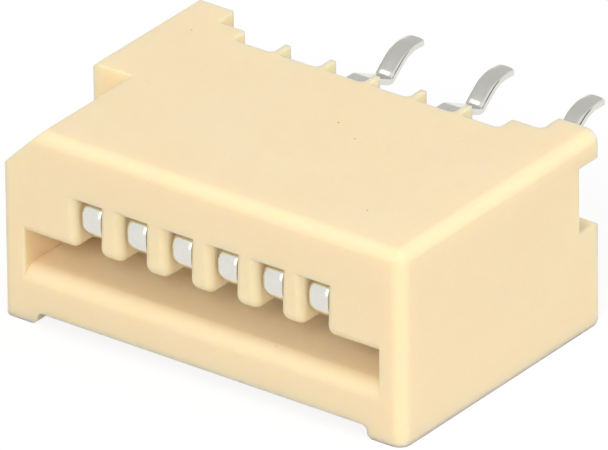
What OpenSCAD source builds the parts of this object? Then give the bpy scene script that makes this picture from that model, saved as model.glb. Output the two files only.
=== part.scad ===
// Flat cable connector, lying on its long side: a moulded housing with a cable slot in its front face,
// and a row of formed spring contacts whose solder tails leave the back face in two staggered rows.
// The board seats against the lugs on the back face. Sizes are in millimetres.

/* [Contact row] */
// Number of contacts
positions = 6; // [2:1:20]
// Distance from one contact to the next
pitch = 1.25; // [1.1:0.05:2.5]

/* [Housing] */
// Distance from an outer contact to the end of the housing
end_margin = 2.4; // [2:0.05:4]
// Depth from the front face to the back face
body_d = 6.65; // [5.5:0.05:9]
// Height, with the rails
housing_h = 4.8; // [4.4:0.05:6]
// Radius of the moulded outer edges
edge_r = 0.3; // [0.1:0.05:0.5]
// Height of the rails under both ends
rail_h = 0.3; // [0.1:0.05:0.6]
// Width of a rail
rail_w = 0.97; // [0.6:0.01:1.4]
// Radius of the corner between a rail and the underside
rail_r = 0.15; // [0.05:0.01:0.3]
// Width and height of the bevel that marks the first contact
bevel = 1.12; // [0.5:0.01:1.3]
// Length of that bevel from the front face
bevel_len = 3.45; // [1:0.05:5]
// Radius of the top edge behind that bevel
first_edge_r = 0.12; // [0.05:0.01:0.3]

/* [Board lugs] */
// Height of the lugs that hold the back face off the board
lug_h = 0.65; // [0.3:0.05:1.2]
// Width of a lug
lug_w = 1.05; // [0.5:0.01:1.2]
// Height of the upper lugs, at the top of the housing
upper_lug = 0.7; // [0.4:0.05:1]
// Height of the lower lugs, from the foot of the rails
lower_lug = 2.53; // [1:0.01:3]
// Radius of the lower lugs' bottom edge
lug_r = 0.16; // [0.05:0.01:0.3]

/* [Cable slot] */
// Thickness of the end walls beside the slot
end_wall = 0.65; // [0.4:0.025:1]
// Thickness of the wall under the slot
floor_wall = 1.06; // [0.7:0.02:1.4]
// Height of the slot
slot_h = 0.7; // [0.5:0.05:1]
// Thickness of the wall behind the slot
back_wall = 2.15; // [1.8:0.05:3]
// Radius of the lip under the mouth
lip_r = 0.25; // [0.1:0.05:0.4]
// Radius of the lead-in over the mouth
lead_r = 0.55; // [0.2:0.05:0.7]
// Radius of the mouth's two ends
mouth_r = 0.05; // [0.02:0.01:0.3]

/* [Contact cavities] */
// Thickness of the wall over the cavities
top_wall = 1.33; // [1:0.01:1.6]
// Gap between a contact and each side of its cavity, level with the top of the slot
side_gap = 0.05; // [0.03:0.005:0.15]
// Lean of the cavity's sides, which open towards the ceiling, in degrees
cavity_draft = 2; // [0:0.25:3]
// Radius of the comb's edges beside the windows
comb_r = 0.2; // [0.05:0.01:0.22]
// Thickness of the ribs between the contact slots in the back face
rib_t = 0.15; // [0.1:0.01:0.3]
// Depth of those slots from the back face
back_slot_d = 0.5; // [0.45:0.01:0.8]
// Radius of the inner corners in those slots and beside the lugs
root_r = 0.15; // [0.05:0.01:0.2]

/* [Contact strip] */
// Width of the strip
strip_w = 0.5; // [0.3:0.02:0.6]
// Thickness of the strip
strip_t = 0.18; // [0.1:0.01:0.25]
// Distance from the front face back to the nose
nose_gap = 0.14; // [0.05:0.01:0.4]
// Gap between the cavity's ceiling and the nose
nose_drop = 0.09; // [0.05:0.01:0.3]
// Outer radius of the nose
nose_r = 0.4; // [0.3:0.01:0.5]
// Height of the flat on the nose, between its two bends
nose_flat = 0.16; // [0.02:0.01:0.3]
// Slope of the spring arm under the nose, in degrees
spring_slope = 25; // [18:1:40]
// Gap between the slot's floor and the contact point
cable_gap = 0.2; // [0.05:0.01:0.3]
// Radius of the strip's middle line at the contact point
point_r = 0.35; // [0.2:0.05:0.5]
// Length of the free end behind the contact point
free_len = 0.9; // [0.5:0.05:1.2]
// Slope of the free end, in degrees
free_slope = 28; // [10:1:40]

/* [Contact seat] */
// Distance from the back face forward to the seat
seat_from = 1.4; // [1.1:0.05:1.7]
// Length of the wide base that holds the contact in its seat
seat_len = 0.6; // [0.3:0.05:0.8]
// Gap all round the base in its seat
seat_fit = 0.01; // [0.005:0.005:0.05]
// Bevel on the base's leading corners
seat_bevel = 0.12; // [0.05:0.01:0.2]

/* [Solder tails] */
// Distance between the two rows of tails
row_gap = 2.5; // [2:0.1:2.6]
// Gap between a lower tail's upright and the slot that it lies in
leg_gap = 0.06; // [0.02:0.01:0.1]
// Radius of the strip's middle line at a bend
bend_r = 0.25; // [0.15:0.01:0.3]
// Distance from the board's face to the kink
kink_from = 1.23; // [0.8:0.01:2]
// Length of the kink's falling side
kink_fall = 0.83; // [0.5:0.01:1]
// Length of the kink's rising side
kink_rise = 0.66; // [0.6:0.01:1]
// Length of the tip behind the kink
tip_len = 0.58; // [0.5:0.01:1.5]
// Depth of the kink under the tail
kink_depth = 0.37; // [0.1:0.01:0.4]
// Height of the tip over the tail, where the rising side meets it
tip_lift = 0.15; // [0:0.01:0.2]
// Slope of the tip down to its end, in degrees
tip_slope = 4; // [0:1:10]
// Radius of the strip's middle line where it turns into the tip
crest_r = 0.85; // [0.3:0.05:0.9]

/* [Hidden] */
$fn = 64;
// Distance that a cutter runs past the face it leaves
past = 0.5;
// Distance that the cutter for a round edge runs past the sides of its corner
lap = 0.1;
// Angle between two points along a strip's bend
bend_step = 6;

housing_w = (positions - 1) * pitch + 2 * end_margin;
housing_d = body_d + lug_h;
floor_z = rail_h + floor_wall;
slot_z = floor_z + slot_h;
slot_d = body_d - back_wall;
slot_w = housing_w - 2 * end_wall;
ceiling_z = housing_h - top_wall;
back_slot_w = pitch - rib_t;
back_slot_y = body_d - back_slot_d;

seat_y = body_d - seat_from;
base_w = back_slot_w - 2 * seat_fit;
base_y = seat_y + seat_fit;
base_z = ceiling_z - seat_fit - strip_t / 2;

tail_len = kink_from + kink_fall + kink_rise + tip_len;
// Distance that the middle of the tip's end stands back from the end's upper edge
tip_back = strip_t / 2 * sin(tip_slope);
low_row_z = base_z - row_gap;
leg_y = back_slot_y + leg_gap + strip_t / 2;
leg_clear_z = low_row_z - strip_t / 2 - leg_gap;

// Corner points of the strip's middle line, from the free end to the seat, as [depth, height, bend radius]
nose_bend = nose_r - strip_t / 2;
nose_top = [nose_gap + strip_t / 2, ceiling_z - nose_drop - strip_t / 2];
beam_slope = atan2(base_z - nose_top[1], base_y - nose_top[0]);
nose_fall = nose_flat + nose_bend * (tan(45 - beam_slope / 2) + tan(45 - spring_slope / 2));
nose_foot = [nose_top[0], nose_top[1] - nose_fall];
point_z = floor_z + cable_gap + strip_t / 2;
point = [nose_foot[0] + (nose_foot[1] - point_z) / tan(spring_slope), point_z];
free_end = point + free_len * [cos(free_slope), sin(free_slope)];
spring_path = [
    [free_end[0], free_end[1], 0],
    [point[0], point[1], point_r],
    [nose_foot[0], nose_foot[1], nose_bend],
    [nose_top[0], nose_top[1], nose_bend],
    [base_y, base_z, bend_r],
];

// Corner points of a tail at the height z, from the board's face to the tip
function tail_path(z) = [
    [housing_d + kink_from, z, bend_r],
    [housing_d + kink_from + kink_fall, z - kink_depth, bend_r],
    [housing_d + tail_len - tip_len, z + tip_lift, crest_r],
    [housing_d + tail_len - tip_back, z + tip_lift - (tip_len - tip_back) * tan(tip_slope), 0],
];
upper_path = concat(spring_path, tail_path(base_z));
lower_path = concat(spring_path, [[leg_y, base_z, bend_r], [leg_y, low_row_z, bend_r]], tail_path(low_row_z));

// Place of a corner point, and the heading from one corner to the next
function place(corner) = [corner[0], corner[1]];
function heading(a, b) = (place(b) - place(a)) / norm(place(b) - place(a));
function left_of(v) = [-v[1], v[0]];
function turned(v, angle) = v * cos(angle) + left_of(v) * sin(angle);
// Angle that a path turns by at corner i, to the left where it is positive
function turn(path, i) =
    let (v = heading(path[i - 1], path[i]), w = heading(path[i], path[i + 1]))
    atan2(left_of(v) * w, v * w);
// Points beside corner i, on a line that runs at a distance to the left of the path
function bend_points(path, i, distance) =
    let (
        v = heading(path[i - 1], path[i]),
        angle = turn(path, i),
        r = path[i][2],
        start = place(path[i]) - v * r * tan(abs(angle) / 2),
        centre = start + sign(angle) * r * left_of(v),
        steps = ceil(abs(angle) / bend_step)
    )
    [for (k = [0:steps]) centre + (distance - sign(angle) * r) * left_of(turned(v, angle * k / steps))];
// A line that runs beside the whole path
function beside(path, distance) =
    let (last = len(path) - 1)
    concat(
        [place(path[0]) + distance * left_of(heading(path[0], path[1]))],
        [for (i = [1:last - 1]) each bend_points(path, i, distance)],
        [place(path[last]) + distance * left_of(heading(path[last - 1], path[last]))]
    );
function reversed(points) = [for (i = [len(points) - 1:-1:0]) points[i]];

// Side view of a strip that is bent along a path
module bent_strip(path) {
    polygon(concat(beside(path, strip_t / 2), reversed(beside(path, -strip_t / 2))));
}

// Sets a side view, drawn as depth and height, across a width that is centred on the part
module across(width) {
    rotate([90, 0, 90]) linear_extrude(width, center = true) children();
}

// Sets a front view, drawn as width and height, along the depth between two distances from the front face
module along(from, to) {
    translate([0, to, 0]) rotate([90, 0, 0]) linear_extrude(to - from) children();
}

// Moves the part so that the origin is under the middle of its box
module centred() {
    translate([0, -(housing_d + tail_len) / 2, 0]) children();
}

// Middle of contact number i along the row
function contact_x(i) = (i - (positions + 1) / 2) * pitch;

// What a round edge takes off a corner that lies at the origin. One side of the corner is the x axis,
// and the other leans from the y axis over the corner by an angle.
module corner_cut(r, lean = 0) {
    middle = [r * (1 + sin(lean)) / cos(lean), r];
    rise = middle + r * [-cos(lean), sin(lean)];
    difference() {
        polygon([[middle[0], 0], [middle[0], -lap], [-lap, -lap], rise - [lap, 0], rise]);
        translate(middle) circle(r);
    }
}

// The gap between the rails, seen from the front, with its rounded corners
module rail_gap() {
    difference() {
        translate([rail_w - housing_w / 2, -past]) square([housing_w - 2 * rail_w, rail_h + past]);
        for (side = [0, 1]) mirror([side, 0])
            translate([rail_w - housing_w / 2, rail_h]) rotate(-90) corner_cut(rail_r);
    }
}

// View from the front, with the rails and the rounded top edges
module front_view() {
    difference() {
        translate([-housing_w / 2, 0]) square([housing_w, housing_h]);
        rail_gap();
        for (side = [0, 1]) mirror([side, 0])
            translate([housing_w / 2, housing_h]) rotate(180) corner_cut(side == 0 ? edge_r : first_edge_r);
    }
}

// A space that opens at the back, seen from above, with rounded inner corners
module back_space(width, from) {
    difference() {
        translate([-width / 2, from]) square([width, housing_d + past - from]);
        for (side = [0, 1]) mirror([side, 0])
            translate([-width / 2, from]) corner_cut(root_r);
    }
}

// View from above, with the rounded front edges and the gap between the lugs
module top_view() {
    difference() {
        translate([-housing_w / 2, 0]) square([housing_w, housing_d]);
        back_space(housing_w - 2 * lug_w, body_d);
        for (side = [0, 1]) mirror([side, 0])
            translate([-housing_w / 2, 0]) corner_cut(edge_r);
    }
}

// View from the side, with the rounded top and bottom edges and the notch between upper and lower lugs
module side_view() {
    difference() {
        square([housing_d, housing_h]);
        translate([body_d, lower_lug]) square([lug_h + past, housing_h - lower_lug - upper_lug]);
        translate([0, housing_h]) rotate(-90) corner_cut(edge_r);
        translate([housing_d, 0]) rotate(90) corner_cut(lug_r);
    }
}

// The cable slot, seen from the side, with its lip and lead-in
module slot_view() {
    translate([-past, floor_z]) square([slot_d + past, slot_h]);
    translate([0, floor_z]) rotate(-90) corner_cut(lip_r);
    translate([0, slot_z]) corner_cut(lead_r);
}

// The cable slot, seen from above, with its rounded ends
module slot_plan() {
    translate([-slot_w / 2, -past]) square([slot_w, slot_d + past]);
    for (side = [0, 1]) mirror([side, 0])
        translate([slot_w / 2, 0]) corner_cut(mouth_r);
}

// The cable slot
module cable_slot() {
    intersection() {
        across(housing_w) slot_view();
        linear_extrude(housing_h) slot_plan();
    }
}

// Half the width of a cavity at the height z
function cavity_half(z) = strip_w / 2 + side_gap + (z - slot_z) * tan(cavity_draft);

// The cavity of one contact, seen from the front
module cavity_view() {
    polygon([
        [-cavity_half(floor_z), floor_z],
        [cavity_half(floor_z), floor_z],
        [cavity_half(ceiling_z), ceiling_z],
        [-cavity_half(ceiling_z), ceiling_z]
    ]);
}

// What the comb's round edges take off on both sides of a window: along the slot's top, and up the front face
module comb_edges() {
    for (side = [0, 1]) mirror([side, 0, 0]) translate([cavity_half(slot_z), 0, slot_z]) {
        along(-past, slot_d) corner_cut(comb_r, cavity_draft);
        intersection() {
            rotate([0, cavity_draft, 0]) linear_extrude(housing_h) corner_cut(comb_r);
            translate([-past, -past, -past]) cube([2 * past, 2 * past, past + ceiling_z - slot_z]);
        }
    }
}

// The space for one contact: its cavity and window, the seat for its base and its slot in the back face
module contact_space() {
    along(-past, body_d + past) cavity_view();
    comb_edges();
    translate([-back_slot_w / 2, seat_y, base_z - strip_t / 2 - seat_fit])
        cube([back_slot_w, body_d + past - seat_y, strip_t + 2 * seat_fit]);
    translate([0, 0, leg_clear_z])
        linear_extrude(housing_h + past - leg_clear_z) back_space(back_slot_w, back_slot_y);
}

// The bevel on the top edge beside the first contact
module first_contact_bevel() {
    along(-past, bevel_len) translate([-housing_w / 2, housing_h])
        polygon([[-past, past], [-past, -bevel - past], [bevel + past, past]]);
}

// The moulded housing
module housing() {
    color("#fbe2bf") centred() difference() {
        intersection() {
            linear_extrude(housing_h) top_view();
            along(0, housing_d) front_view();
            across(housing_w) side_view();
        }
        cable_slot();
        for (i = [1:positions]) translate([contact_x(i), 0, 0]) contact_space();
        first_contact_bevel();
    }
}

// The wide base of a contact, with its leading corners bevelled
module contact_base() {
    translate([0, base_y, base_z - strip_t / 2]) linear_extrude(strip_t) polygon([
        [-base_w / 2, seat_bevel],
        [seat_bevel - base_w / 2, 0],
        [base_w / 2 - seat_bevel, 0],
        [base_w / 2, seat_bevel],
        [base_w / 2, seat_len],
        [-base_w / 2, seat_len]
    ]);
}

// One contact, formed from one strip: odd ones have their tail in the lower row, even ones in the upper
module contact(i) {
    color("#c3c1bb") centred() translate([contact_x(i), 0, 0]) {
        across(strip_w) bent_strip(i % 2 == 1 ? lower_path : upper_path);
        contact_base();
    }
}

housing();
for (i = [1:positions]) contact(i);
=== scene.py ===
import math

import bmesh
import bpy
from mathutils import Matrix, Vector


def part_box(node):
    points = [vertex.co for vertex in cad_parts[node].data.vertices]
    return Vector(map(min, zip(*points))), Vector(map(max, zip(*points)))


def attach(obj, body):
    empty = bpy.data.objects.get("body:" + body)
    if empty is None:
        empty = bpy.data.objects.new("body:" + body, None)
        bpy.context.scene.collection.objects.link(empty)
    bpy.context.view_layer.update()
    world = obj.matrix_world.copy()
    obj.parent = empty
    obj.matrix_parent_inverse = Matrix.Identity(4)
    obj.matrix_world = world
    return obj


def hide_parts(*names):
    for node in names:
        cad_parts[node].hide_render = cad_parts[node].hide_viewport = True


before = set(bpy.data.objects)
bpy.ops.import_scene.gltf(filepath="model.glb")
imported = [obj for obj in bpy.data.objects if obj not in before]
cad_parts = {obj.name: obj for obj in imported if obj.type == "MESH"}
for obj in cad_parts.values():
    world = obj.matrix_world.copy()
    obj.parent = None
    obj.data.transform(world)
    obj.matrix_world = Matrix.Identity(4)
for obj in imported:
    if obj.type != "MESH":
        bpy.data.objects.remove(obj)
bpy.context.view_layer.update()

# Housing
# One injection moulding in cream nylon, with a satin, finely eroded finish that lets a little light through.
# The mould leaves a small round on every edge. The rounds at the cable slot's mouth, on the teeth of its comb
# and on the rails' feet are larger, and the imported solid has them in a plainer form.
MM = 0.001
POSITIONS = 6
PITCH = 1.25 * MM
SLOT_HALF = 4.875 * MM
SLOT_FLOOR_Z = 1.36 * MM
SLOT_TOP_Z = 2.06 * MM
TOOTH_END_Z = 2.17 * MM
WINDOW_TOP_Z = 3.47 * MM
WINDOW_HALF = 0.3 * MM
WINDOW_DRAFT = math.radians(2)
COMB_DEPTH = 1 * MM
TOOTH_SIDE_R = 0.2 * MM
TOOTH_LIP_R = 0.28 * MM
FLOOR_LIP_R = 0.38 * MM
MOUTH_END_R = 0.06 * MM
RAIL_INNER_X = 4.555 * MM
RAIL_FOOT_R = 0.15 * MM
RIM_SHARE = 0.9
CORE_SHARE = 0.85
PAST = 0.2 * MM
ARC_STEPS = 10
MERGE = 1e-7
MOULD_ROUND = 0.06 * MM
ROUND_STEPS = 3
ROUND_ROOM = 0.15 * MM
SQUARE_EDGE = math.radians(40)
CREASE = math.radians(20)
FLAT_JOIN = math.radians(1)
CREAM_DEEP = (0.90, 0.71, 0.44, 1)
CREAM_PALE = (0.95, 0.77, 0.52, 1)
SPECK_BROWN = (0.30, 0.20, 0.11, 1)
FLOW_SCALE = 0.4
GRAIN_SCALE = 16
SPECK_SCALE = 1.3
SPECK_SIZE = 0.04
SPECK_STRENGTH = 0.75
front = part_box("housing")[0].y


class Wire:
    """A socket in a node tree. Arithmetic on it adds Math nodes, and node() adds any other."""

    def __init__(self, tree, socket=None):
        self.tree = tree
        self.socket = socket

    def node(self, kind, settings=None, inputs=None, output=0):
        """Adds a node, with its settings set first and then its sockets, and gives one of its outputs."""
        made = self.tree.nodes.new(kind)
        for name, value in (settings or {}).items():
            setattr(made, name, value)
        for key, value in (inputs or {}).items():
            if isinstance(value, Wire):
                self.tree.links.new(value.socket, made.inputs[key])
            else:
                made.inputs[key].default_value = value
        return Wire(self.tree, made.outputs[output] if made.outputs else None)

    def other(self, output):
        """Another output of the node that this one comes from."""
        return Wire(self.tree, self.socket.node.outputs[output])

    def math(self, operation, *values):
        return self.node("ShaderNodeMath", {"operation": operation}, dict(enumerate(values)))

    def __add__(self, value):
        return self.math("ADD", self, value)

    def __radd__(self, value):
        return self.math("ADD", value, self)

    def __sub__(self, value):
        return self.math("SUBTRACT", self, value)

    def __rsub__(self, value):
        return self.math("SUBTRACT", value, self)

    def __mul__(self, value):
        return self.math("MULTIPLY", self, value)

    def __rmul__(self, value):
        return self.math("MULTIPLY", value, self)

    def __truediv__(self, value):
        return self.math("DIVIDE", self, value)

    def __rtruediv__(self, value):
        return self.math("DIVIDE", value, self)

    def __pow__(self, value):
        return self.math("POWER", self, value)

    def __rpow__(self, value):
        return self.math("POWER", value, self)

    def __lt__(self, value):
        return self.math("LESS_THAN", self, value)

    def __gt__(self, value):
        return self.math("GREATER_THAN", self, value)


def new_material(name):
    """An empty node material, and a Wire to start its nodes from."""
    material = bpy.data.materials.new(name)
    material.use_nodes = True
    material.node_tree.nodes.clear()
    return material, Wire(material.node_tree)


def in_millimetres(start):
    """Object coordinates, in millimetres."""
    place = start.node("ShaderNodeTexCoord", output="Object")
    return start.node("ShaderNodeVectorMath", {"operation": "SCALE"}, {"Vector": place, "Scale": 1 / MM})


def noise(start, place, scale, detail):
    return start.node("ShaderNodeTexNoise", None, {"Vector": place, "Scale": scale, "Detail": detail})


def mix_colour(start, factor, a, b):
    return start.node("ShaderNodeMix", {"data_type": "RGBA"}, {0: factor, 6: a, 7: b}, output=2)


def cream_nylon():
    material, start = new_material("cream_nylon")
    place = in_millimetres(start)
    flow = noise(start, place, FLOW_SCALE, 2)
    grain = noise(start, place, GRAIN_SCALE, 4)
    cream = mix_colour(start, 0.6 * flow + 0.4 * grain, CREAM_DEEP, CREAM_PALE)
    cells = start.node("ShaderNodeTexVoronoi", None, {"Vector": place, "Scale": SPECK_SCALE})
    drawn = start.node("ShaderNodeSeparateColor", None, {"Color": cells.other("Color")})
    speck = (cells.other("Distance") < SPECK_SIZE * drawn) * SPECK_STRENGTH
    colour = mix_colour(start, speck, cream, SPECK_BROWN)
    eroded = start.node("ShaderNodeBump", None, {"Height": grain, "Strength": 0.2, "Distance": 0.004 * MM})
    shader = start.node(
        "ShaderNodeBsdfPrincipled",
        {"subsurface_method": "RANDOM_WALK"},
        {
            "Base Color": colour,
            "Roughness": 0.40 + 0.15 * grain,
            "Normal": eroded,
            "IOR": 1.5,
            "Subsurface Weight": 1.0,
            "Subsurface Radius": (1.0, 1.0, 0.6),
            "Subsurface Scale": 0.4 * MM,
        },
    )
    start.node("ShaderNodeOutputMaterial", None, {"Surface": shader})
    return material


def show(name, mesh):
    """A new object in the scene, at the origin."""
    piece = bpy.data.objects.new(name, mesh)
    bpy.context.scene.collection.objects.link(piece)
    return piece


def flare(depth, radius):
    """How far a round of this radius has opened a wall, at a depth behind the face that it runs out to."""
    left = max(radius - max(depth, 0), 0)
    return radius - math.sqrt(radius * radius - left * left)


def arc_depths(radius):
    """Depths from a face to the end of a round, closer together near the face."""
    return [radius * (1 - math.cos(math.pi / 2 * k / ARC_STEPS)) for k in range(ARC_STEPS + 1)]


def closed_loft(rings):
    """A mesh through rings of as many points each, closed at both ends, with its faces outwards."""
    loft = bmesh.new()
    rows = [[loft.verts.new(point) for point in ring] for ring in rings]
    for row, after in zip(rows, rows[1:]):
        for k in range(len(row)):
            loft.faces.new((row[k - 1], row[k], after[k], after[k - 1]))
    loft.faces.new(rows[0])
    loft.faces.new(rows[-1])
    bmesh.ops.recalc_face_normals(loft, faces=loft.faces)
    return loft


def joined(name, lofts):
    """One object from several lofts."""
    whole = bmesh.new()
    part = bpy.data.meshes.new(name)
    for loft in lofts:
        loft.to_mesh(part)
        loft.free()
        whole.from_mesh(part)
    whole.to_mesh(part)
    whole.free()
    return show(name, part)


def window_half(z):
    """Half of a window's width at a height."""
    return WINDOW_HALF + (z - SLOT_TOP_Z) * math.tan(WINDOW_DRAFT)


def window_rim(middle):
    """The opening between two teeth, swept down the front face and round their ends, with rounded sides."""
    stations = [(0, WINDOW_TOP_Z, 0)]
    for k in range(ARC_STEPS + 1):
        turn = math.pi / 2 * k / ARC_STEPS
        depth = TOOTH_LIP_R * (1 - math.cos(turn))
        stations.append((depth, TOOTH_END_Z + TOOTH_LIP_R * (1 - math.sin(turn)), turn))
    stations.append((COMB_DEPTH + PAST, TOOTH_END_Z, math.pi / 2))
    rings = []
    for depth, height, turn in stations:
        right = []
        left = []
        for inset in [-PAST] + arc_depths(TOOTH_SIDE_R) + [RIM_SHARE * TOOTH_LIP_R]:
            y = front + depth + inset * math.cos(turn)
            z = height + inset * math.sin(turn)
            half = window_half(z) + flare(inset, TOOTH_SIDE_R)
            right.append((middle + half, y, z))
            left.append((middle - half, y, z))
        rings.append(right + left[::-1])
    return closed_loft(rings)


def window_core(middle):
    """The rest of that opening, behind its rim."""
    inset = CORE_SHARE * TOOTH_LIP_R
    near = front + inset
    far = front + COMB_DEPTH + PAST
    rings = []
    for z in (TOOTH_END_Z + inset, WINDOW_TOP_Z):
        left = middle - window_half(z)
        right = middle + window_half(z)
        rings.append([(left, near, z), (right, near, z), (right, far, z), (left, far, z)])
    return closed_loft(rings)


def box_ring(half, depth, low, high):
    """An upright rectangle at a depth behind the front face."""
    y = front + depth
    return [(-half, y, low), (half, y, low), (half, y, high), (-half, y, high)]


def slot_mouth():
    """The cable slot's mouth, with rounds on its floor, on its ends and on the teeth."""
    rings = [
        box_ring(
            SLOT_HALF + flare(depth, MOUTH_END_R),
            depth,
            SLOT_FLOOR_Z - flare(depth, FLOOR_LIP_R),
            TOOTH_END_Z + flare(depth, TOOTH_LIP_R),
        )
        for depth in [-PAST] + arc_depths(FLOOR_LIP_R) + [COMB_DEPTH]
    ]
    return closed_loft(rings + [box_ring(SLOT_HALF, COMB_DEPTH + PAST, SLOT_FLOOR_Z, SLOT_TOP_Z)])


def rail_round(side):
    """What a round takes off the inner edge of a rail's foot, along its whole length."""
    clear_x = RAIL_INNER_X - PAST
    edge = [(clear_x, RAIL_FOOT_R), (clear_x, -PAST), (RAIL_INNER_X + RAIL_FOOT_R, -PAST)]
    edge += [(RAIL_INNER_X + flare(height, RAIL_FOOT_R), height) for height in arc_depths(RAIL_FOOT_R)]
    ends = (front - PAST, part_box("housing")[1].y + PAST)
    return closed_loft([[(side * x, y, z) for x, z in edge] for y in ends])


def cut(piece, other, operation):
    """Joins another object to a piece or takes it off, and removes that object."""
    step = piece.modifiers.new("cut", "BOOLEAN")
    step.solver = "MANIFOLD"
    step.operation = operation
    step.object = other
    result = piece.evaluated_get(bpy.context.evaluated_depsgraph_get())
    piece.data = bpy.data.meshes.new_from_object(result)
    piece.modifiers.clear()
    bpy.data.objects.remove(other)


def has_room(edge):
    """True where a square edge lies between two broad faces and no small face or edge is next to it."""
    beside = [other for corner in edge.verts for other in corner.link_edges]
    broad = [face.calc_area() / max(side.calc_length() for side in face.edges) for face in edge.link_faces]
    return min(broad) > ROUND_ROOM and min(other.calc_length() for other in beside) > ROUND_ROOM


solid = bmesh.new()
solid.from_mesh(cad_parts["housing"].data)
bmesh.ops.remove_doubles(solid, verts=solid.verts, dist=MERGE)
housing = show("moulded_housing", bpy.data.meshes.new("moulded_housing"))
solid.to_mesh(housing.data)
solid.clear()
comb_ends = [box_ring(SLOT_HALF + PAST, depth, TOOTH_END_Z, WINDOW_TOP_Z + PAST) for depth in (0, COMB_DEPTH)]
cut(housing, joined("comb", [closed_loft(comb_ends)]), "UNION")
places = [(number - (POSITIONS + 1) / 2) * PITCH for number in range(1, POSITIONS + 1)]
cut(housing, joined("window_rims", [window_rim(place) for place in places]), "DIFFERENCE")
cut(housing, joined("window_cores", [window_core(place) for place in places]), "DIFFERENCE")
cut(housing, joined("slot_mouth", [slot_mouth()]), "DIFFERENCE")
cut(housing, joined("rail_rounds", [rail_round(side) for side in (-1, 1)]), "DIFFERENCE")
solid.from_mesh(housing.data)
bmesh.ops.remove_doubles(solid, verts=solid.verts, dist=MERGE)
bmesh.ops.dissolve_limit(solid, angle_limit=FLAT_JOIN, verts=solid.verts, edges=solid.edges)
for face in solid.faces:
    face.smooth = True
rounded = solid.edges.layers.float.new("bevel_weight_edge")
for edge in solid.edges:
    turn = edge.calc_face_angle()
    if turn > SQUARE_EDGE and edge.is_convex and has_room(edge):
        edge[rounded] = 1
    else:
        edge.smooth = turn < CREASE
solid.to_mesh(housing.data)
solid.free()
rounds = housing.modifiers.new("mould_rounds", "BEVEL")
rounds.width = MOULD_ROUND
rounds.segments = ROUND_STEPS
rounds.limit_method = "WEIGHT"
rounds.use_clamp_overlap = False
housing.modifiers.new("even_faces", "WEIGHTED_NORMAL").keep_sharp = True
housing.data.materials.clear()
housing.data.materials.append(cream_nylon())
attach(housing, "root")
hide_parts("housing")

# Contacts
# Six springs, each bent from one narrow strip of tin-plated copper alloy. The coined nose stands behind its
# window, the wide base is pressed into its seat, and the odd ones step down to a second row of solder tails.
STRIP_W = 0.5 * MM
STRIP_T = 0.18 * MM
BASE_W = 1.08 * MM
BASE_BEVEL = 0.12 * MM
BASE_LEN = 0.6 * MM
BASE_Y = 5.26 * MM
UPPER_Z = 3.37 * MM
LOWER_Z = 0.87 * MM
LEG_Y = 6.3 * MM
NOSE_Y = 0.23 * MM
NOSE_TOP_Z = 3.29 * MM
NOSE_BEND = 0.31 * MM
NOSE_FLAT = 0.16 * MM
NOSE_W = 0.56 * MM
SPRING_SLOPE = math.radians(25)
POINT_Z = 1.65 * MM
POINT_BEND = 0.35 * MM
FREE_LEN = 0.9 * MM
FREE_SLOPE = math.radians(28)
BEND = 0.25 * MM
BOARD_Y = 7.3 * MM
KINK_FROM = 1.23 * MM
KINK_FALL = 0.83 * MM
KINK_RISE = 0.66 * MM
TIP_LEN = 0.58 * MM
KINK_DEPTH = 0.37 * MM
TIP_LIFT = 0.15 * MM
TIP_SLOPE = math.radians(4)
TIP_ROUND = 0.06 * MM
VALLEY_BEND = 0.15 * MM
FOOT_LEN = 0.19 * MM
FOOT_SLOPE = math.radians(43)
FOOT_BEND = 0.5 * MM
CREST_BEND = 0.85 * MM
BEND_STEP = math.radians(5)
STRIP_EDGE = math.radians(40)
ROLLED = 10
FORMED = 4
COINED = 3
SECTION_POINTS = 48
STEP = 1e-4 * MM
TIN_DARK = (0.68, 0.67, 0.62, 1)
TIN_PALE = (0.79, 0.78, 0.72, 1)
STREAKS_ACROSS = 40
STREAKS_ALONG = 1.5


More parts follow.
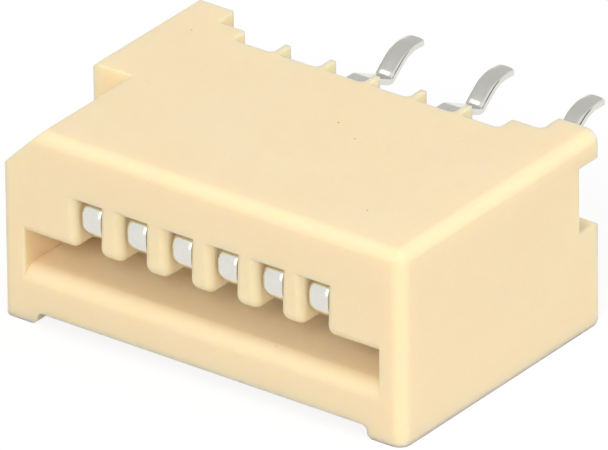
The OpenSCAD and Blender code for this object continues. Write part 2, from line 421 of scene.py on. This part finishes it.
def strip_corners(number):
    """Corners of a strip's middle line, as place, bend, width and how square its section is."""
    beam = math.atan2(UPPER_Z - NOSE_TOP_Z, BASE_Y - NOSE_Y)
    fall = NOSE_FLAT + NOSE_BEND * (
        math.tan(math.pi / 4 - beam / 2) + math.tan(math.pi / 4 - SPRING_SLOPE / 2)
    )
    nose_z = NOSE_TOP_Z - fall
    point_y = NOSE_Y + (nose_z - POINT_Z) / math.tan(SPRING_SLOPE)
    free_y = point_y + FREE_LEN * math.cos(FREE_SLOPE)
    free_z = POINT_Z + FREE_LEN * math.sin(FREE_SLOPE)
    spring = [
        (free_y, free_z, 0, STRIP_W, ROLLED),
        (point_y, POINT_Z, POINT_BEND, STRIP_W, COINED),
        (NOSE_Y, nose_z, NOSE_BEND, NOSE_W, COINED),
        (NOSE_Y, NOSE_TOP_Z, NOSE_BEND, NOSE_W, COINED),
    ]
    base = [
        (BASE_Y, UPPER_Z, 0, STRIP_W, ROLLED),
        (BASE_Y + STEP, UPPER_Z, 0, BASE_W - 2 * BASE_BEVEL, ROLLED),
        (BASE_Y + BASE_BEVEL, UPPER_Z, 0, BASE_W, ROLLED),
        (BASE_Y + BASE_LEN - STEP, UPPER_Z, 0, BASE_W, ROLLED),
        (BASE_Y + BASE_LEN, UPPER_Z, 0, STRIP_W, ROLLED),
    ]
    lower = number % 2 == 1
    z = LOWER_Z if lower else UPPER_Z
    leg = [(LEG_Y, UPPER_Z, BEND, STRIP_W, ROLLED), (LEG_Y, LOWER_Z, BEND, STRIP_W, ROLLED)]
    kink_y = BOARD_Y + KINK_FROM
    valley_y = kink_y + KINK_FALL
    valley_z = z - KINK_DEPTH
    foot_y = valley_y + FOOT_LEN * math.cos(FOOT_SLOPE)
    foot_z = valley_z + FOOT_LEN * math.sin(FOOT_SLOPE)
    tip_y = valley_y + KINK_RISE
    tail = [
        (kink_y, z, BEND, STRIP_W, ROLLED),
        (valley_y, valley_z, VALLEY_BEND, STRIP_W, FORMED),
        (foot_y, foot_z, FOOT_BEND, STRIP_W, FORMED),
        (tip_y, z + TIP_LIFT, CREST_BEND, STRIP_W, FORMED),
    ]
    run = TIP_LEN - STRIP_T / 2 * math.sin(TIP_SLOPE)
    for degrees in range(0, 91, 15):
        left = TIP_ROUND * (1 - math.sin(math.radians(degrees)))
        inset = TIP_ROUND * (1 - math.cos(math.radians(degrees)))
        here = run - left * math.cos(TIP_SLOPE)
        tail.append((tip_y + here, z + TIP_LIFT - here * math.tan(TIP_SLOPE), 0, STRIP_W - 2 * inset, FORMED))
    return spring + base + (leg if lower else []) + tail


def strip_line(name, corners):
    """One open line that turns each corner in an arc, with the strip's width and squareness on it."""
    points = [corners[0]]
    for (y0, z0, *_), (y1, z1, bend, width, square), (y2, z2, *_) in zip(corners, corners[1:], corners[2:]):
        corner = Vector((y1, z1))
        before = (corner - Vector((y0, z0))).normalized()
        after = (Vector((y2, z2)) - corner).normalized()
        turn = math.atan2(before.x * after.y - before.y * after.x, before.dot(after))
        start = corner - before * bend * math.tan(abs(turn) / 2)
        centre = start + Vector((-before.y, before.x)) * math.copysign(bend, turn)
        steps = math.ceil(abs(turn) / BEND_STEP) if bend else 0
        for k in range(steps + 1):
            place = centre + Matrix.Rotation(turn * k / max(steps, 1), 2) @ (start - centre)
            points.append((place.x, place.y, bend, width, square))
    points.append(corners[-1])
    line = bpy.data.meshes.new(name)
    line.from_pydata(
        [(0, front + y, z) for y, z, *_ in points], [(k, k + 1) for k in range(len(points) - 1)], []
    )
    line.attributes.new("width", "FLOAT", "POINT").data.foreach_set("value", [p[3] for p in points])
    line.attributes.new("square", "FLOAT", "POINT").data.foreach_set("value", [p[4] for p in points])
    return line


def rolled_strip():
    """Geometry nodes that sweep a squared oval section along a line."""
    tree = bpy.data.node_groups.new("rolled_strip", "GeometryNodeTree")
    for name, kind in (
        ("Line", "NodeSocketGeometry"),
        ("Thickness", "NodeSocketFloat"),
        ("Section points", "NodeSocketInt"),
        ("Place in row", "NodeSocketFloat"),
        ("Sharp edge", "NodeSocketFloat"),
        ("Metal", "NodeSocketMaterial"),
    ):
        tree.interface.new_socket(name, in_out="INPUT", socket_type=kind)
    tree.interface.new_socket("Strip", in_out="OUTPUT", socket_type="NodeSocketGeometry")
    start = Wire(tree)
    given = start.node("NodeGroupInput")

    def stored(name, kind="FLOAT"):
        return start.node("GeometryNodeInputNamedAttribute", {"data_type": kind}, {"Name": name})

    def store(geometry, name, value, kind):
        return start.node(
            "GeometryNodeStoreNamedAttribute",
            {"data_type": kind, "domain": "POINT"},
            {"Geometry": geometry, "Name": name, "Value": value},
        )

    place = start.node("GeometryNodeInputPosition")
    line = start.node("GeometryNodeMeshToCurve", None, {"Mesh": given.other("Line")})
    line = store(line, "middle", place, "FLOAT_VECTOR")
    line = store(line, "along", start.node("GeometryNodeSplineParameter", output="Length"), "FLOAT")
    line = start.node("GeometryNodeSetCurveNormal", {"mode": "FREE"}, {"Curve": line, "Normal": (1, 0, 0)})
    ring = start.node(
        "GeometryNodeCurvePrimitiveCircle",
        {"mode": "RADIUS"},
        {"Resolution": given.other("Section points"), "Radius": 1},
    )
    sweep = start.node(
        "GeometryNodeCurveToMesh", None, {"Curve": line, "Profile Curve": ring, "Fill Caps": True}
    )
    middle = stored("middle", "FLOAT_VECTOR")
    off = start.node("ShaderNodeVectorMath", {"operation": "SUBTRACT"}, {0: place, 1: middle})
    off = start.node("ShaderNodeSeparateXYZ", None, {"Vector": off})
    across = off.other("X")
    power = 2 / stored("square")
    through = start.math("MAXIMUM", 1 - across * across, 1e-9) ** 0.5
    flat = through ** (power - 1) * given.other("Thickness") / 2
    wide = start.math("SIGN", across) * start.math("ABSOLUTE", across) ** power * stored("width") / 2
    squared = start.node(
        "ShaderNodeCombineXYZ",
        None,
        {"X": wide + given.other("Place in row"), "Y": off.other("Y") * flat, "Z": off.other("Z") * flat},
    )
    squared = start.node("ShaderNodeVectorMath", {"operation": "ADD"}, {0: middle, 1: squared})
    strip = start.node("GeometryNodeSetPosition", None, {"Geometry": sweep, "Position": squared})
    strip = start.node("GeometryNodeSetShadeSmooth", {"domain": "FACE"}, {"Geometry": strip})
    soft = start.node("GeometryNodeInputMeshEdgeAngle") < given.other("Sharp edge")
    strip = start.node(
        "GeometryNodeSetShadeSmooth", {"domain": "EDGE"}, {"Geometry": strip, "Shade Smooth": soft}
    )
    strip = start.node("GeometryNodeRealizeInstances", None, {"Geometry": strip})
    strip = start.node(
        "GeometryNodeSetMaterial", None, {"Geometry": strip, "Material": given.other("Metal")}
    )
    start.node("NodeGroupOutput", None, {"Strip": strip})
    return tree


def tin_plate():
    material, start = new_material("tin_plate")
    place = start.node("ShaderNodeSeparateXYZ", None, {"Vector": in_millimetres(start)})
    along = start.node("ShaderNodeAttribute", {"attribute_name": "along"}, output="Fac") / MM
    rolled = start.node(
        "ShaderNodeCombineXYZ", None, {"X": place.other("X") * STREAKS_ACROSS, "Y": along * STREAKS_ALONG}
    )
    streak = noise(start, rolled, 1, 3)
    cloud = noise(start, in_millimetres(start), 4, 3)
    tone = 0.5 * streak + 0.5 * cloud
    colour = mix_colour(start, tone, TIN_DARK, TIN_PALE)
    bump = start.node("ShaderNodeBump", None, {"Height": streak, "Strength": 0.1, "Distance": 0.003 * MM})
    shader = start.node(
        "ShaderNodeBsdfPrincipled",
        None,
        {"Base Color": colour, "Metallic": 1.0, "Roughness": 0.12 + 0.14 * tone, "Normal": bump},
    )
    start.node("ShaderNodeOutputMaterial", None, {"Surface": shader})
    return material


strip_tree = rolled_strip()
tin = tin_plate()
sockets = {item.name: item.identifier for item in strip_tree.interface.items_tree}
for number in range(1, POSITIONS + 1):
    draft = show("strip_line", strip_line("strip_line", strip_corners(number)))
    sweep = draft.modifiers.new("rolled_strip", "NODES")
    sweep.node_group = strip_tree
    sweep[sockets["Thickness"]] = STRIP_T
    sweep[sockets["Section points"]] = SECTION_POINTS
    sweep[sockets["Place in row"]] = places[number - 1]
    sweep[sockets["Sharp edge"]] = STRIP_EDGE
    sweep[sockets["Metal"]] = tin
    formed = draft.evaluated_get(bpy.context.evaluated_depsgraph_get())
    contact = show(f"formed_contact_{number}", bpy.data.meshes.new_from_object(formed))
    bpy.data.objects.remove(draft)
    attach(contact, "root")
    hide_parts(f"contact_{number}")

# Floor
# A white sweep of matt card under the part. It shows as plain white, keeps a faint shadow under the part, and
# throws its light back on the part's lower faces.
FLOOR_HALF = 0.5
CARD_WHITE = (0.5, 0.5, 0.5, 1)


def card(name, corners):
    mesh = bpy.data.meshes.new(name)
    mesh.from_pydata(corners, [], [tuple(range(len(corners)))])
    piece = show(name, mesh)
    return piece


def seen_rays(start):
    """One for rays from the camera, and for mirrored and clear ones, and otherwise zero."""
    rays = start.node("ShaderNodeLightPath")
    return rays.other("Is Camera Ray") + rays.other("Is Glossy Ray") + rays.other("Is Transmission Ray")


floor = card(
    "floor",
    [(x * FLOOR_HALF, y * FLOOR_HALF, 0) for x, y in ((-1, -1), (1, -1), (1, 1), (-1, 1))],
)
material, start = new_material("white_sweep")
plain = start.node("ShaderNodeBsdfDiffuse", None, {"Color": CARD_WHITE})
faint = start.node("ShaderNodeBsdfDiffuse", None, {"Color": (0.2, 0.2, 0.2, 1)})
white = start.node("ShaderNodeEmission", None, {"Strength": 0.82})
lifted = start.node("ShaderNodeAddShader", None, {0: faint, 1: white})
look = start.node("ShaderNodeMixShader", None, {0: seen_rays(start), 1: plain, 2: lifted})
clear = start.node("ShaderNodeBsdfTransparent")
behind = start.node("ShaderNodeNewGeometry", output="Backfacing")
one_sided = start.node("ShaderNodeMixShader", None, {0: behind, 1: look, 2: clear})
start.node("ShaderNodeOutputMaterial", None, {"Surface": one_sided})
floor.data.materials.append(material)

# Light
# Even white light from all round, as in a light tent, with one softbox in front of the cable slot and one on
# the right. The cards are what the bare metal mirrors: white for its bright spots, grey and dark elsewhere.
SOFTBOX_DISTANCE = 0.3
SOFTBOX_SIZE = 0.12
CARD_FAR = 250 * MM
CARD_NEAR = 15 * MM
NOSES = (0, -5.1, 3)
TAIL_TOPS = (0.6, 4.5, 3.4)
world = bpy.data.worlds.new("studio")
bpy.context.scene.world = world
world.use_nodes = True
world.node_tree.nodes.clear()
start = Wire(world.node_tree)
soft = start.node("ShaderNodeBackground", None, {"Color": (1, 1, 1, 1), "Strength": 0.61})
white = start.node("ShaderNodeBackground", None, {"Color": (1, 1, 1, 1), "Strength": 1.0})
both = start.node("ShaderNodeMixShader", None, {0: seen_rays(start), 1: soft, 2: white})
start.node("ShaderNodeOutputWorld", None, {"Surface": both})


def softbox(name, direction, power):
    """A square lamp that lights the part but shows in no mirror."""
    lamp = bpy.data.lights.new(name, "AREA")
    lamp.shape = "SQUARE"
    lamp.size = SOFTBOX_SIZE
    lamp.energy = power
    holder = show(name, lamp)
    towards = Vector(direction).normalized()
    holder.location = towards * SOFTBOX_DISTANCE
    holder.rotation_euler = towards.to_track_quat("Z", "Y").to_euler()
    holder.visible_camera = False
    holder.visible_glossy = False


softbox("softbox_before_slot", (0.3, -0.8, 0.48), 0.48)
softbox("softbox_on_right", (0.85, 0.1, 0.5), 0.31)


def mirrored_card(name, near, towards, distance, half_wide, half_high, shade):
    """A card that only the metal mirrors, square to the line towards it from a place near the part."""
    towards = Vector(towards).normalized()
    middle = Vector(near) * MM + towards * distance
    wide = Vector((0, 0, 1)).cross(towards).normalized() * half_wide
    high = towards.cross(wide).normalized() * half_high
    piece = card(name, [middle + wide * x + high * y for x, y in ((-1, -1), (1, -1), (1, 1), (-1, 1))])
    material, start = new_material(name)
    glow = start.node("ShaderNodeEmission", None, {"Strength": shade})
    start.node("ShaderNodeOutputMaterial", None, {"Surface": glow})
    piece.data.materials.append(material)
    piece.visible_camera = False
    piece.visible_diffuse = False
    piece.visible_transmission = False
    piece.visible_shadow = False


mirrored_card("white_card_before_slot", NOSES, (0.2, -0.93, 0.31), CARD_FAR, 60 * MM, 70 * MM, 4)
mirrored_card("white_card_at_left", TAIL_TOPS, (-0.535, -0.42, 0.73), CARD_FAR, 20 * MM, 16 * MM, 4)
mirrored_card("grey_card_over_tails", TAIL_TOPS, (-0.535, 0.33, 0.77), CARD_NEAR, 12.5 * MM, 10.5 * MM, 0.66)
mirrored_card("dark_card_over_tails", TAIL_TOPS, (0.65, 0, 0.75), CARD_NEAR, 6 * MM, 6 * MM, 0.2)
mirrored_card("dark_card_at_left", TAIL_TOPS, (-0.9, 0.08, 0.36), CARD_FAR, 90 * MM, 80 * MM, 0.15)

# Camera
# A long lens that looks down over the front right edge. Its angles, scale and centre were fitted to the
# housing's corners and the row of windows in the photograph.
PICTURE_W = 608
PICTURE_H = 450
AZIMUTH = math.radians(36.997)
ELEVATION = math.radians(27.625)
ROLL = math.radians(-0.649)
DISTANCE = 400 * MM
SCALE = 45.18 / MM
CENTRE_PX = (301.319, 221.539)
CENTRE = (0.03 * MM, -1.6 * MM, 2.4 * MM)
SENSOR_W = 36
back = Vector(
    (
        math.sin(AZIMUTH) * math.cos(ELEVATION),
        -math.cos(AZIMUTH) * math.cos(ELEVATION),
        math.sin(ELEVATION),
    )
)
level = Vector((math.cos(AZIMUTH), math.sin(AZIMUTH), 0))
up = back.cross(level)
right = math.cos(ROLL) * level + math.sin(ROLL) * up
up = back.cross(right)
across = (PICTURE_W / 2 - CENTRE_PX[0]) / SCALE
above = (CENTRE_PX[1] - PICTURE_H / 2) / SCALE
aim = Vector(CENTRE) + right * across + up * above
lens = bpy.data.cameras.new("camera")
lens.sensor_width = SENSOR_W
lens.lens = SCALE * DISTANCE / PICTURE_W * SENSOR_W
lens.clip_start = 0.01
lens.clip_end = 2
camera = show("camera", lens)
turn = Matrix((right, up, back)).transposed()
camera.matrix_world = Matrix.Translation(aim + back * DISTANCE) @ turn.to_4x4()
bpy.context.scene.camera = camera
bpy.context.scene.view_settings.view_transform = "Standard"
